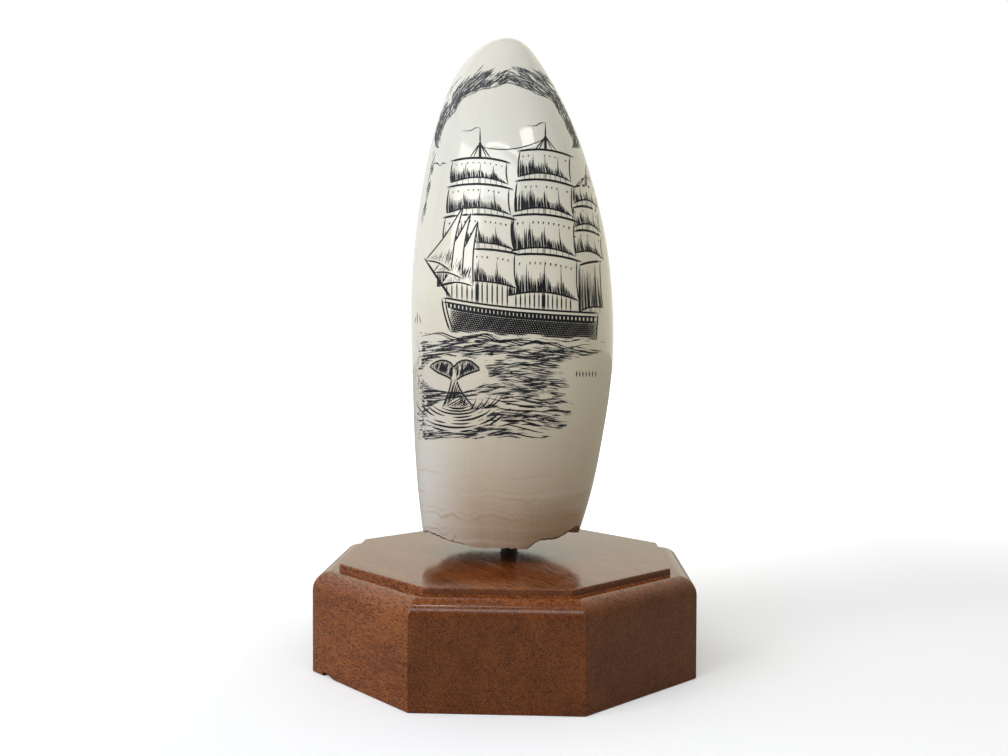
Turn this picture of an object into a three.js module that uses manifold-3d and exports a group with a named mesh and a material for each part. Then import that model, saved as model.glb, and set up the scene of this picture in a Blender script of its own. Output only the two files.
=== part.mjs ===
// Scrimshaw whale tooth on an octagonal hardwood plinth.
// Millimetres, +Z up, origin on the underside at the middle of the plinth.
// The engraved face of the tooth looks towards -Y.
import * as THREE from 'three';
import { mergeVertices } from 'three/addons/utils/BufferGeometryUtils.js';
import Module from 'manifold-3d';

// ---------------------------------------------------------------- sizes, mm
const GAP = 0.3;                 // clearance kept between neighbouring pieces

// plinth
const SIDES = 8;
const FLAT_TO_FLAT = 101.6;      // across the flats of the octagon
const PLINTH_H = 28.4;           // floor to the top of the raised panel
const RISER_H = 1.7;             // step from the ledge up to the panel
const LEDGE_W = 1.9;             // flat ledge between riser and rounded edge
const ROUND_R = 4.7;             // radius of the rounded upper edge
const ROUND_STEPS = 7;
const ARRIS = 0.35;              // softened arris of the panel and of the foot
const CHIP_START = 5.0;          // chip in the lower edge, from the left corner
const CHIP_LEN = 6.8;
const CHIP_H = 1.4;
const CHIP_IN = 1.5;             // how far the chip bites into the side

// rod
const ROD_D = 4.76;
const ROD_X = 0.7;               // the rod stands a touch to the right of the middle
const ROD_SIDES = 24;
const ROD_SUNK = 10;             // length held in the plinth

// tooth
const ROOT_Z = 32.0;             // lowest level that the root edge comes near
const TOOTH_L = 143.8;           // from that level to the tip
const DEPTH_RATIO = 0.82;        // front-to-back over side-to-side
const BELLY_FWD = 2.5;           // the middle bows forwards by this much
const TIP_BACK = 7.0;            // the tip leans back by this much
// [height above ROOT_Z, half width, sideways shift of the middle]
const STATIONS = [
  [0, 21.54, -1.98], [12, 24.11, -0.84], [30, 26.54, 0.42], [50, 28.08, 1.44],
  [68, 28.20, 1.26], [86, 26.68, 0.75], [102, 23.75, -0.12], [118, 19.45, -1.11],
  [130, 14.49, -1.93], [138, 9.51, -1.81],
];
const TIP_SHIFT = -0.7;
const AROUND = 72;               // facets round the tooth
const LEVELS = 30;               // facets from root to tip
// broken root edge: [degrees round from +X, height of the edge]
const BREAK = [
  [-176, 34.9], [-161, 35.05], [-152, 35.7], [-138, 35.15], [-127, 34.2], [-117, 33.9],
  [-106, 33.0], [-89, 33.1], [-76, 33.0], [-70, 32.5], [-66, 33.2], [-62, 34.55],
  [-57, 34.95], [-45, 34.85], [-33, 36.3], [-24, 37.2], [-17, 36.9], [-9, 35.0],
  [2, 36.4], [14, 36.0], [31, 34.7], [48, 33.6], [60, 32.3], [82, 31.3], [97, 31.8],
  [118, 31.4], [136, 32.2], [152, 34.2], [168, 34.3],
];
// pulp cavity, open at the root
const WALL_ROOT = 1.7;           // thickness of the broken edge
const CAVITY_TOP = 86;           // where the cone narrows to the rod's socket
const CAVITY_POWER = 1.25;       // how the cone bellies out
const CAVITY_LEVELS = 9;
const SOCKET_DEEP = 7;           // length of the rod held in the tooth
const SOCKET_R = ROD_D / 2 + GAP;

// --------------------------------------------------------------- small tools
const wasm = await Module();
wasm.setup();

function toManifold(geometry) {
  const g = geometry.clone();
  g.deleteAttribute('normal');
  g.deleteAttribute('uv');
  const m = mergeVertices(g, 1e-4);
  return new wasm.Manifold(new wasm.Mesh({
    numProp: 3,
    vertProperties: new Float32Array(m.attributes.position.array),
    triVerts: new Uint32Array(m.index.array),
  }));
}

function toGeometry(solid) {
  const mesh = solid.getMesh();
  const g = new THREE.BufferGeometry();
  const pos = new Float32Array(mesh.numVert * 3);
  for (let i = 0; i < mesh.numVert; i += 1) {
    for (let k = 0; k < 3; k += 1) pos[3 * i + k] = mesh.vertProperties[mesh.numProp * i + k];
  }
  g.setAttribute('position', new THREE.BufferAttribute(pos, 3));
  g.setIndex(new THREE.BufferAttribute(new Uint32Array(mesh.triVerts), 1));
  g.computeVertexNormals();
  return g;
}

// closed skin through a stack of rings, capped by a point at either end
function skin(rings, first, last) {
  const n = rings[0].length;
  const pts = [first, ...rings.flat(), last];
  const idx = [];
  const at = (r, k) => 1 + r * n + (k % n);
  for (let k = 0; k < n; k += 1) idx.push(0, at(0, k + 1), at(0, k));
  for (let r = 0; r < rings.length - 1; r += 1) {
    for (let k = 0; k < n; k += 1) {
      idx.push(at(r, k), at(r, k + 1), at(r + 1, k + 1));
      idx.push(at(r, k), at(r + 1, k + 1), at(r + 1, k));
    }
  }
  const top = rings.length - 1;
  for (let k = 0; k < n; k += 1) idx.push(at(top, k), at(top, k + 1), pts.length - 1);
  const g = new THREE.BufferGeometry();
  g.setAttribute('position', new THREE.BufferAttribute(new Float32Array(pts.flat()), 3));
  g.setIndex(idx);
  g.computeVertexNormals();
  return g;
}

// smooth curve through knots (natural cubic spline)
function spline(xs, ys) {
  const n = xs.length;
  const m = new Array(n).fill(0);
  const c = new Array(n).fill(0);
  const d = new Array(n).fill(0);
  for (let i = 1; i < n - 1; i += 1) {
    const h0 = xs[i] - xs[i - 1];
    const h1 = xs[i + 1] - xs[i];
    const rhs = 6 * ((ys[i + 1] - ys[i]) / h1 - (ys[i] - ys[i - 1]) / h0);
    const w = 2 * (h0 + h1) - h0 * c[i - 1];
    c[i] = h1 / w;
    d[i] = (rhs - h0 * d[i - 1]) / w;
  }
  for (let i = n - 2; i > 0; i -= 1) m[i] = d[i] - c[i] * m[i + 1];
  return (x) => {
    let i = 0;
    while (i < n - 2 && x > xs[i + 1]) i += 1;
    const h = xs[i + 1] - xs[i];
    const a = (xs[i + 1] - x) / h;
    const b = (x - xs[i]) / h;
    return a * ys[i] + b * ys[i + 1] + ((a * a * a - a) * m[i] + (b * b * b - b) * m[i + 1]) * h * h / 6;
  };
}

// ------------------------------------------------------------------- plinth
// one octagon of the plinth, drawn in by `inset` from its outer faces
function octagon(inset, z) {
  const r = (FLAT_TO_FLAT / 2 - inset) / Math.cos(Math.PI / SIDES);
  return Array.from({ length: SIDES }, (_, k) => {
    const a = (-Math.PI / 2) - Math.PI / SIDES + (k * 2 * Math.PI) / SIDES;
    return [r * Math.cos(a), r * Math.sin(a), z];
  });
}

function plinth() {
  const ledgeZ = PLINTH_H - RISER_H;
  const rings = [octagon(ARRIS, 0), octagon(0, ARRIS)];
  for (let i = 0; i <= ROUND_STEPS; i += 1) {
    const a = (i / ROUND_STEPS) * Math.PI / 2;
    rings.push(octagon(ROUND_R * (1 - Math.cos(a)), ledgeZ - ROUND_R + ROUND_R * Math.sin(a)));
  }
  const panel = ROUND_R + LEDGE_W;
  rings.push(octagon(panel, ledgeZ));
  rings.push(octagon(panel, PLINTH_H - ARRIS));
  rings.push(octagon(panel + ARRIS, PLINTH_H));
  let solid = toManifold(skin(rings, [0, 0, 0], [0, 0, PLINTH_H]));

  // blind socket for the rod
  const deep = ROD_SUNK + GAP;
  const socket = new THREE.CylinderGeometry(SOCKET_R, SOCKET_R, deep + 5, ROD_SIDES);
  socket.rotateX(Math.PI / 2);
  socket.translate(ROD_X, 0, PLINTH_H - deep + (deep + 5) / 2);
  solid = solid.subtract(toManifold(socket));

  // chip in the lower edge of the left front side, tapering away along the edge
  const face = new THREE.Shape();
  face.moveTo(CHIP_START, -1);
  face.lineTo(CHIP_START, CHIP_H * 0.8);
  face.lineTo(CHIP_START + 0.12 * CHIP_LEN, CHIP_H);
  face.lineTo(CHIP_START + 0.35 * CHIP_LEN, CHIP_H * 0.82);
  face.lineTo(CHIP_START + CHIP_LEN, 0);
  face.lineTo(CHIP_START + CHIP_LEN, -1);
  face.closePath();
  const chip = new THREE.ExtrudeGeometry(face, { depth: CHIP_IN + 2, bevelEnabled: false });
  const left = octagon(0, 0)[7];
  const right = octagon(0, 0)[0];
  const along = new THREE.Vector3(right[0] - left[0], right[1] - left[1], 0).normalize();
  const up = new THREE.Vector3(0, 0, 1);
  const out = new THREE.Vector3().crossVectors(along, up);
  chip.applyMatrix4(new THREE.Matrix4().makeBasis(along, up, out));
  chip.translate(left[0] - out.x * CHIP_IN, left[1] - out.y * CHIP_IN, 0);
  return toGeometry(solid.subtract(toManifold(chip)));
}

// ---------------------------------------------------------------------- rod
const ROD_LOW = PLINTH_H - ROD_SUNK;
const ROD_HIGH = CAVITY_TOP + SOCKET_DEEP - GAP;
function rod() {
  const g = new THREE.CylinderGeometry(ROD_D / 2, ROD_D / 2, ROD_HIGH - ROD_LOW, ROD_SIDES);
  g.rotateX(Math.PI / 2);
  g.translate(ROD_X, 0, (ROD_HIGH + ROD_LOW) / 2);
  return toGeometry(toManifold(g));
}

// -------------------------------------------------------------------- tooth
// The half width is a smooth factor times sqrt(1 - t), which closes the tip in a round end.
const knots = STATIONS.map(([h]) => h / TOOTH_L);
const factors = STATIONS.map(([h, a]) => a / Math.sqrt(1 - h / TOOTH_L));
const last = factors.length - 1;
const slope = (factors[last] - factors[last - 1]) / (knots[last] - knots[last - 1]);
const factorAt = spline([...knots, 1], [...factors, factors[last] + slope * (1 - knots[last]) * 0.5]);
const shiftAt = spline([...knots, 1], [...STATIONS.map((s) => s[2]), TIP_SHIFT]);

const halfWidth = (t) => factorAt(t) * Math.sqrt(Math.max(0, 1 - t));
const bow = (t) => -BELLY_FWD * Math.sin(Math.PI * t) + TIP_BACK * Math.pow(Math.max(0, t), 2.2);

function breakAt(deg) {
  const n = BREAK.length;
  for (let i = 0; i < n; i += 1) {
    const [a0, z0] = BREAK[i];
    const [b, z1] = BREAK[(i + 1) % n];
    const a1 = b < a0 ? b + 360 : b;
    for (const d of [deg, deg + 360]) {
      if (d >= a0 && d <= a1) return z0 + (z1 - z0) * (d - a0) / (a1 - a0);
    }
  }
  return BREAK[0][1];
}

function outer(angle, z) {
  const t = (z - ROOT_Z) / TOOTH_L;
  const a = halfWidth(t);
  return [shiftAt(t) + a * Math.cos(angle), bow(t) + DEPTH_RATIO * a * Math.sin(angle), z];
}

function inner(angle, z) {
  const u = Math.min(1, Math.max(0, (z - ROOT_Z) / (CAVITY_TOP - ROOT_Z)));
  const open = 1 - Math.pow(u, CAVITY_POWER);
  const a = SOCKET_R + (halfWidth(0) - WALL_ROOT - SOCKET_R) * open;
  const b = SOCKET_R + (halfWidth(0) * DEPTH_RATIO - WALL_ROOT - SOCKET_R) * open;
  return [ROD_X + (shiftAt(0) - ROD_X) * (1 - u) + a * Math.cos(angle), b * Math.sin(angle), z];
}

function tooth() {
  const angles = Array.from({ length: AROUND }, (_, k) => (k * 2 * Math.PI) / AROUND - Math.PI);
  const edge = angles.map((a) => breakAt(THREE.MathUtils.radToDeg(a)));
  const rings = [];
  // socket and cavity, from the top of the socket down to the broken edge
  rings.push(angles.map((a) => inner(a, CAVITY_TOP)).map(([x, y]) => [x, y, CAVITY_TOP + SOCKET_DEEP]));
  for (let i = CAVITY_LEVELS; i >= 0; i -= 1) {
    const s = Math.pow(i / CAVITY_LEVELS, 1.1);
    rings.push(angles.map((a, k) => inner(a, edge[k] + (CAVITY_TOP - edge[k]) * s)));
  }
  // outside, from the broken edge up to the tip
  for (let i = 0; i < LEVELS; i += 1) {
    const s = Math.sin((i / LEVELS) * Math.PI / 2);
    rings.push(angles.map((a, k) => outer(a, edge[k] + (ROOT_Z + TOOTH_L - edge[k]) * s)));
  }
  const tip = outer(0, ROOT_Z + TOOTH_L);
  return toGeometry(toManifold(skin(rings, [ROD_X, 0, CAVITY_TOP + SOCKET_DEEP], tip)));
}

// ----------------------------------------------------------------- assembly
function piece(name, geometry, colour, roughness) {
  const mesh = new THREE.Mesh(geometry, new THREE.MeshStandardMaterial({ color: colour, roughness, metalness: 0 }));
  mesh.name = name;
  return mesh;
}

const model = new THREE.Group();
model.add(piece('base', plinth(), 0x7a4630, 0.18));
model.add(piece('rod', rod(), 0x0c0c0e, 0.4));
model.add(piece('tooth', tooth(), 0xe2dccb, 0.22));

export default model;
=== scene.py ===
# Scrimshaw whale tooth on an octagonal hardwood plinth: the finish of every surface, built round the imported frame.
# Lengths in this script are millimetres unless a name ends in _m; meshes are written in metres.
import math
import random

import bpy
import numpy as np
from mathutils import Matrix, Vector


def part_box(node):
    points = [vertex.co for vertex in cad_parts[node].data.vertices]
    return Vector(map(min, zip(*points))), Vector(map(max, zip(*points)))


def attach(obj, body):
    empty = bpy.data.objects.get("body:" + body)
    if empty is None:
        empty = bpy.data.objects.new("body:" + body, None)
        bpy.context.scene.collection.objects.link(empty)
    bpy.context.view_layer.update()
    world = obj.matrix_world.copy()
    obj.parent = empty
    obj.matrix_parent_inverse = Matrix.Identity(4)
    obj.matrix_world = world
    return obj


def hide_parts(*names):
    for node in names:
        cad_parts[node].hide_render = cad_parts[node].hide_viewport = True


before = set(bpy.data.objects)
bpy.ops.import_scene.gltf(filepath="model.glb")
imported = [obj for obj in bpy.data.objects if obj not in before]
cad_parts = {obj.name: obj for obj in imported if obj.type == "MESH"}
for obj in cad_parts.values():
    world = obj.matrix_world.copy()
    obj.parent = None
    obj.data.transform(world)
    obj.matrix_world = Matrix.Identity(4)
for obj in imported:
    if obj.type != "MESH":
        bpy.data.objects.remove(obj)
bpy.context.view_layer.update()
MM = 0.001
rng = np.random.default_rng(4021)
scene = bpy.context.scene

BASE_LO, BASE_HI = [np.array(c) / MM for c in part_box("base")]
ROD_LO, ROD_HI = [np.array(c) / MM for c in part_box("rod")]
TOOTH_LO, TOOTH_HI = [np.array(c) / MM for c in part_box("tooth")]
FLATS = float(BASE_HI[0] - BASE_LO[0])
PLINTH_H = float(BASE_HI[2])
ROD_X = float(ROD_HI[0] + ROD_LO[0]) / 2
ROD_R = float(ROD_HI[0] - ROD_LO[0]) / 2

# ------------------------------------------------------------------ camera
EYE = np.array([13.292, -284.801, 84.887])
YAW, PITCH, ROLL = -0.049895, -0.023751, 0.0030798
LENS = 35.913


def make_camera():
    cy, sy = math.cos(YAW), math.sin(YAW)
    fwd = Vector((sy * math.cos(PITCH), cy * math.cos(PITCH), math.sin(PITCH)))
    right = Vector((cy, -sy, 0))
    up = right.cross(fwd)
    c, s = math.cos(ROLL), math.sin(ROLL)
    r2 = c * right + s * up
    u2 = -s * right + c * up
    m = Matrix((
        (r2.x, u2.x, -fwd.x, EYE[0] * MM),
        (r2.y, u2.y, -fwd.y, EYE[1] * MM),
        (r2.z, u2.z, -fwd.z, EYE[2] * MM),
        (0, 0, 0, 1),
    ))
    data = bpy.data.cameras.new("camera")
    data.sensor_width = 36
    data.lens = LENS
    data.clip_start = 0.01
    data.clip_end = 50
    cam = bpy.data.objects.new("camera", data)
    scene.collection.objects.link(cam)
    cam.matrix_world = m
    scene.camera = cam


make_camera()
scene.view_settings.view_transform = "Standard"
scene.view_settings.look = "None"


# ------------------------------------------------------------- node helpers
class Nodes:
    """A short hand for building node trees."""

    def __init__(self, tree):
        self.t = tree
        tree.nodes.clear()

    def add(self, kind, ins=None, **props):
        n = self.t.nodes.new(kind)
        for k, v in props.items():
            setattr(n, k, v)
        for k, v in (ins or {}).items():
            s = n.inputs[k]
            if isinstance(v, bpy.types.NodeSocket):
                self.t.links.new(v, s)
            else:
                s.default_value = v
        return n

    def math(self, op, a, b=None, c=None, clamp=False):
        n = self.t.nodes.new("ShaderNodeMath")
        n.operation = op
        n.use_clamp = clamp
        for i, v in enumerate((a, b, c)):
            if v is None:
                continue
            if isinstance(v, bpy.types.NodeSocket):
                self.t.links.new(v, n.inputs[i])
            else:
                n.inputs[i].default_value = v
        return n.outputs[0]

    def mix(self, fac, a, b, blend="MIX"):
        n = self.t.nodes.new("ShaderNodeMix")
        n.data_type = "RGBA"
        n.blend_type = blend
        n.clamp_factor = True
        for s, v in ((n.inputs[0], fac), (n.inputs[6], a), (n.inputs[7], b)):
            if isinstance(v, bpy.types.NodeSocket):
                self.t.links.new(v, s)
            elif isinstance(v, (tuple, list)):
                s.default_value = (*v, 1) if len(v) == 3 else v
            else:
                s.default_value = v
        return n.outputs[2]

    def smooth(self, x, lo, hi):
        n = self.t.nodes.new("ShaderNodeMapRange")
        n.interpolation_type = "SMOOTHSTEP"
        n.clamp = True
        if isinstance(x, bpy.types.NodeSocket):
            self.t.links.new(x, n.inputs["Value"])
        n.inputs["From Min"].default_value = lo
        n.inputs["From Max"].default_value = hi
        return n.outputs["Result"]

    def linear(self, x, lo, hi, a=0.0, b=1.0):
        n = self.t.nodes.new("ShaderNodeMapRange")
        n.clamp = True
        self.t.links.new(x, n.inputs["Value"])
        n.inputs["From Min"].default_value = lo
        n.inputs["From Max"].default_value = hi
        n.inputs["To Min"].default_value = a
        n.inputs["To Max"].default_value = b
        return n.outputs["Result"]

    def noise(self, vec, scale, detail=2.0, rough=0.5, distortion=0.0):
        n = self.add("ShaderNodeTexNoise", {"Vector": vec, "Scale": scale, "Detail": detail,
                                            "Roughness": rough, "Distortion": distortion})
        return n.outputs[0]

    def ramp(self, fac, stops, interp="LINEAR"):
        n = self.t.nodes.new("ShaderNodeValToRGB")
        n.color_ramp.interpolation = interp
        el = n.color_ramp.elements
        while len(el) < len(stops):
            el.new(0.5)
        for e, (p, c) in zip(el, stops):
            e.position = p
            e.color = (*c, 1)
        self.t.links.new(fac, n.inputs[0])
        return n.outputs[0]

    def scaled(self, vec, s, offset=(0, 0, 0), rot=(0, 0, 0)):
        n = self.add("ShaderNodeMapping", {"Vector": vec, "Scale": s, "Location": offset, "Rotation": rot})
        return n.outputs[0]


def new_material(name):
    m = bpy.data.materials.new(name)
    m.use_nodes = True
    return m, Nodes(m.node_tree)


def finish_material(n, bsdf):
    out = n.add("ShaderNodeOutputMaterial")
    n.t.links.new(bsdf.outputs[0], out.inputs["Surface"])


# ---------------------------------------------------------------- materials
def wood_material():
    m, n = new_material("plinth_wood")
    tc = n.add("ShaderNodeTexCoord").outputs["Object"]
    mm = n.scaled(tc, (1000, 1000, 1000))
    # turn the block so that X runs along the grain
    g = n.scaled(mm, (1, 1, 1), rot=(0, 0, math.radians(-123.5)))
    warp = n.noise(n.scaled(g, (0.012, 0.05, 0.05)), 1.0, 2.0)
    wv = n.math("MULTIPLY", n.math("SUBTRACT", warp, 0.5), 5.0)
    comb = n.add("ShaderNodeCombineXYZ", {"Y": wv, "Z": wv}).outputs[0]
    gw = n.add("ShaderNodeVectorMath", {0: g, 1: comb}, operation="ADD").outputs[0]
    # broad figure: ribbons a few millimetres wide that run with the grain
    ribbon = n.noise(n.scaled(gw, (0.010, 0.16, 0.10)), 1.0, 3.0, 0.55)
    fibre = n.noise(n.scaled(gw, (0.035, 1.1, 1.1)), 1.0, 3.0, 0.6)
    fine = n.noise(n.scaled(gw, (0.16, 3.4, 3.4)), 1.0, 2.0, 0.6)
    tone = n.math("ADD", n.math("MULTIPLY", ribbon, 0.45), n.math("MULTIPLY", fibre, 0.55))
    col = n.ramp(tone, [
        (0.28, (0.165, 0.042, 0.0100)),
        (0.45, (0.250, 0.068, 0.0165)),
        (0.58, (0.310, 0.090, 0.0220)),
        (0.74, (0.375, 0.120, 0.0310)),
    ])
    col = n.mix(n.linear(fine, 0.40, 0.66, 0.0, 0.42), col, (0.085, 0.024, 0.008))
    # pores: fine dark vessels, long and thin along the grain
    v1 = n.add("ShaderNodeTexVoronoi", {"Vector": n.scaled(gw, (0.34, 2.3, 2.3)), "Scale": 1.0})
    p1 = n.smooth(v1.outputs["Distance"], 0.42, 0.18)
    v2 = n.add("ShaderNodeTexVoronoi", {"Vector": n.scaled(gw, (0.55, 3.6, 3.6), offset=(7.3, 2.1, 5.5)), "Scale": 1.0})
    p2 = n.smooth(v2.outputs["Distance"], 0.46, 0.20)
    patch = n.noise(n.scaled(gw, (0.03, 0.22, 0.22), offset=(3, 8, 1)), 1.0, 2.0)
    pores = n.math("MAXIMUM", p1, n.math("MULTIPLY", p2, n.linear(patch, 0.36, 0.56, 0.35, 1.0)))
    # longer open vessels where the face runs with the grain, on the level top
    level = n.smooth(n.add("ShaderNodeSeparateXYZ", {0: n.add("ShaderNodeNewGeometry").outputs["Normal"]}).outputs[2], 0.80, 0.96)
    v3 = n.add("ShaderNodeTexVoronoi", {"Vector": n.scaled(gw, (0.13, 0.80, 0.80), offset=(2.2, 9.1, 0.4)), "Scale": 1.0})
    pores = n.math("MAXIMUM", pores, n.math("MULTIPLY", n.smooth(v3.outputs["Distance"], 0.36, 0.16), level))
    col = n.mix(n.math("MULTIPLY", pores, 0.88), col, (0.026, 0.006, 0.002))
    # end grain drinks the varnish and stays darker; as the grain is turned, this darkens the front and right-front
    # faces and spares the left-front one, so it is partly painted shade on the shaded side
    nrm = n.add("ShaderNodeNewGeometry").outputs["Normal"]
    end = n.add("ShaderNodeVectorMath", {0: nrm, 1: (-0.552, 0.834, 0.0)}, operation="DOT_PRODUCT").outputs["Value"]
    dark = n.math("SUBTRACT", 1.0, n.math("MULTIPLY", n.smooth(n.math("ABSOLUTE", end), 0.25, 0.98), 0.38))
    col = n.mix(1.0, col, n.add("ShaderNodeCombineColor", {0: dark, 1: dark, 2: dark}).outputs[0], "MULTIPLY")
    bump = n.add("ShaderNodeBump", {"Height": n.math("MULTIPLY", n.math("SUBTRACT", n.math("MULTIPLY", fine, 0.5), pores), 0.5),
                                    "Strength": 0.18, "Distance": 0.00010})
    b = n.add("ShaderNodeBsdfPrincipled", {
        "Base Color": col, "Roughness": 0.5, "Specular IOR Level": 0.0,
        "Coat Weight": 1.0, "Coat Roughness": 0.105, "Coat IOR": 1.40,
        "Normal": bump.outputs[0], "Coat Normal": bump.outputs[0],
    })
    finish_material(n, b)
    return m


def ivory_material():
    m, n = new_material("ivory")
    tc = n.add("ShaderNodeTexCoord").outputs["Object"]
    mm = n.scaled(tc, (1000, 1000, 1000))
    sep = n.add("ShaderNodeSeparateXYZ", {0: mm})
    x, y, z = sep.outputs[0], sep.outputs[1], sep.outputs[2]
    wob = n.noise(n.scaled(mm, (0.05, 0.05, 0.03)), 1.0, 3.0, 0.55)
    zw = n.math("ADD", z, n.math("MULTIPLY", n.math("SUBTRACT", wob, 0.5), 9.0))
    t = n.linear(zw, 30, 178)
    # colour by height: darker and browner towards the root, partly the ivory's own colour and partly painted shade on
    # the low part of the tooth; lighter again at the tip
    col = n.ramp(t, [
        (0.00, (0.42, 0.305, 0.215)),
        (0.10, (0.53, 0.425, 0.325)),
        (0.26, (0.655, 0.585, 0.485)),
        (0.50, (0.81, 0.770, 0.665)),
        (0.78, (0.745, 0.735, 0.675)),
        (0.90, (0.77, 0.750, 0.685)),
        (1.00, (0.84, 0.800, 0.735)),
    ])
    # growth bands of the root: a few soft rings, nearly level
    zb = n.math("ADD", z, n.math("MULTIPLY", n.math("SUBTRACT", n.noise(n.scaled(mm, (0.05, 0.05, 0.03)), 1.0, 2.0), 0.5), 5.0))
    band = n.noise(n.add("ShaderNodeCombineXYZ", {"X": n.math("MULTIPLY", x, 0.006), "Y": n.math("MULTIPLY", y, 0.006), "Z": n.math("MULTIPLY", zb, 0.30)}).outputs[0], 1.0, 2.0, 0.55)
    low = n.smooth(z, 56, 42)
    col = n.mix(n.math("MULTIPLY", n.smooth(band, 0.51, 0.62), n.math("MULTIPLY", low, 0.30)), col, (0.50, 0.31, 0.19))
    col = n.mix(n.math("MULTIPLY", n.smooth(band, 0.47, 0.37), n.math("MULTIPLY", low, 0.22)), col, (0.74, 0.66, 0.56))
    # a browner field low down on the right
    field = n.math("MULTIPLY", n.smooth(n.math("SUBTRACT", zb, n.math("MULTIPLY", x, 0.22)), 43.5, 41.5), n.smooth(x, 2, 9))
    col = n.mix(n.math("MULTIPLY", field, 0.42), col, (0.40, 0.30, 0.18))
    # upright grain, fine and faint
    ang = n.math("ARCTAN2", y, x)
    streak = n.noise(n.add("ShaderNodeCombineXYZ", {"X": n.math("MULTIPLY", ang, 13.0), "Z": n.math("MULTIPLY", z, 0.018)}).outputs[0], 1.0, 3.0, 0.6)
    col = n.mix(n.math("MULTIPLY", n.smooth(streak, 0.52, 0.72), 0.14), col, (0.60, 0.50, 0.37))
    hair = n.noise(n.add("ShaderNodeCombineXYZ", {"X": n.math("MULTIPLY", ang, 60.0), "Z": n.math("MULTIPLY", z, 0.06)}).outputs[0], 1.0, 2.0, 0.5)
    col = n.mix(n.math("MULTIPLY", n.smooth(hair, 0.52, 0.68), n.math("MULTIPLY", n.smooth(z, 100, 50), 0.08)), col, (0.45, 0.36, 0.27))
    col = n.mix(n.math("MULTIPLY", n.smooth(hair, 0.46, 0.32), n.math("MULTIPLY", n.smooth(z, 90, 45), 0.07)), col, (0.82, 0.74, 0.68))
    # the right side is darker and yellower: painted shade
    warm = n.math("MULTIPLY", n.smooth(x, 6, 29), 0.34)
    col = n.mix(warm, col, (0.63, 0.545, 0.375))
    # the lower left is paler and cooler: a painted reflection of the cool light on that side
    cool = n.math("MULTIPLY", n.smooth(x, -6, -24), n.smooth(z, 100, 50))
    col = n.mix(n.math("MULTIPLY", cool, 0.70), col, (0.78, 0.785, 0.785))
    # a few thin wavy rings in the root, one browner line to each
    comes = n.noise(n.scaled(mm, (0.09, 0.09, 0.16), offset=(4, 9, 2)), 1.0, 2.0)
    zr = n.math("ADD", z, n.math("MULTIPLY", n.math("SUBTRACT", n.noise(n.scaled(mm, (0.13, 0.13, 0.05)), 1.0, 3.0, 0.6), 0.5), 6.5))
    for at, half, k in ((36.6, 0.26, 0.50), (38.1, 0.18, 0.40), (41.0, 0.32, 0.60), (42.6, 0.20, 0.45), (46.4, 0.36, 0.45), (48.3, 0.22, 0.30), (52.5, 0.30, 0.25)):
        d = n.math("ABSOLUTE", n.math("SUBTRACT", zr, at))
        col = n.mix(n.math("MULTIPLY", n.smooth(d, half * 1.9, half * 0.3), n.linear(comes, 0.42, 0.62, 0.0, k)), col, (0.42, 0.29, 0.19))
    # specks
    v = n.add("ShaderNodeTexVoronoi", {"Vector": n.scaled(mm, (0.30, 0.30, 0.22)), "Scale": 1.0})
    speck = n.math("MULTIPLY", n.smooth(v.outputs["Distance"], 0.07, 0.03), n.smooth(z, 86, 44))
    col = n.mix(n.math("MULTIPLY", speck, 0.35), col, (0.33, 0.22, 0.14))
    b = n.add("ShaderNodeBsdfPrincipled", {
        "Base Color": col, "Roughness": 0.34, "Specular IOR Level": 0.45,
        "Subsurface Weight": 0.12, "Subsurface Scale": 0.0012,
        "Coat Weight": 0.8, "Coat Roughness": 0.05, "Coat IOR": 1.5,
    })
    b.inputs["Subsurface Radius"].default_value = (1.0, 0.75, 0.5)
    finish_material(n, b)
    return m


def plain_material(name, colour, rough, coat=0.0, coat_rough=0.1, spec=0.5):
    m, n = new_material(name)
    b = n.add("ShaderNodeBsdfPrincipled", {
        "Base Color": (*colour, 1), "Roughness": rough, "Specular IOR Level": spec,
        "Coat Weight": coat, "Coat Roughness": coat_rough,
    })
    finish_material(n, b)
    return m


def rod_material():
    m, n = new_material("rod_black")
    tc = n.add("ShaderNodeTexCoord").outputs["Object"]
    mm = n.scaled(tc, (1000, 1000, 1000))
    k = n.noise(n.scaled(mm, (0.9, 0.9, 0.25)), 1.0, 3.0, 0.6)
    col = n.mix(k, (0.006, 0.006, 0.007), (0.020, 0.020, 0.022))
    rough = n.linear(k, 0.3, 0.7, 0.30, 0.48)
    b = n.add("ShaderNodeBsdfPrincipled", {"Base Color": col, "Roughness": rough})
    finish_material(n, b)
    return m


WOOD = wood_material()
IVORY = ivory_material()
ROD = rod_material()


# -------------------------------------------------------------- mesh helper
def mesh_object(name, verts_mm, faces, material, smooth_angle=None, smooth=True):
    me = bpy.data.meshes.new(name)
    v = np.asarray(verts_mm, dtype=np.float64) * MM
    me.from_pydata([tuple(p) for p in v], [], faces)
    me.update()
    me.validate()
    if smooth:
        me.polygons.foreach_set("use_smooth", [True] * len(me.polygons))
    if smooth_angle is not None:
        me.set_sharp_from_angle(angle=math.radians(smooth_angle))
    ob = bpy.data.objects.new(name, me)
    scene.collection.objects.link(ob)
    me.materials.append(material)
    return ob


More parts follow.
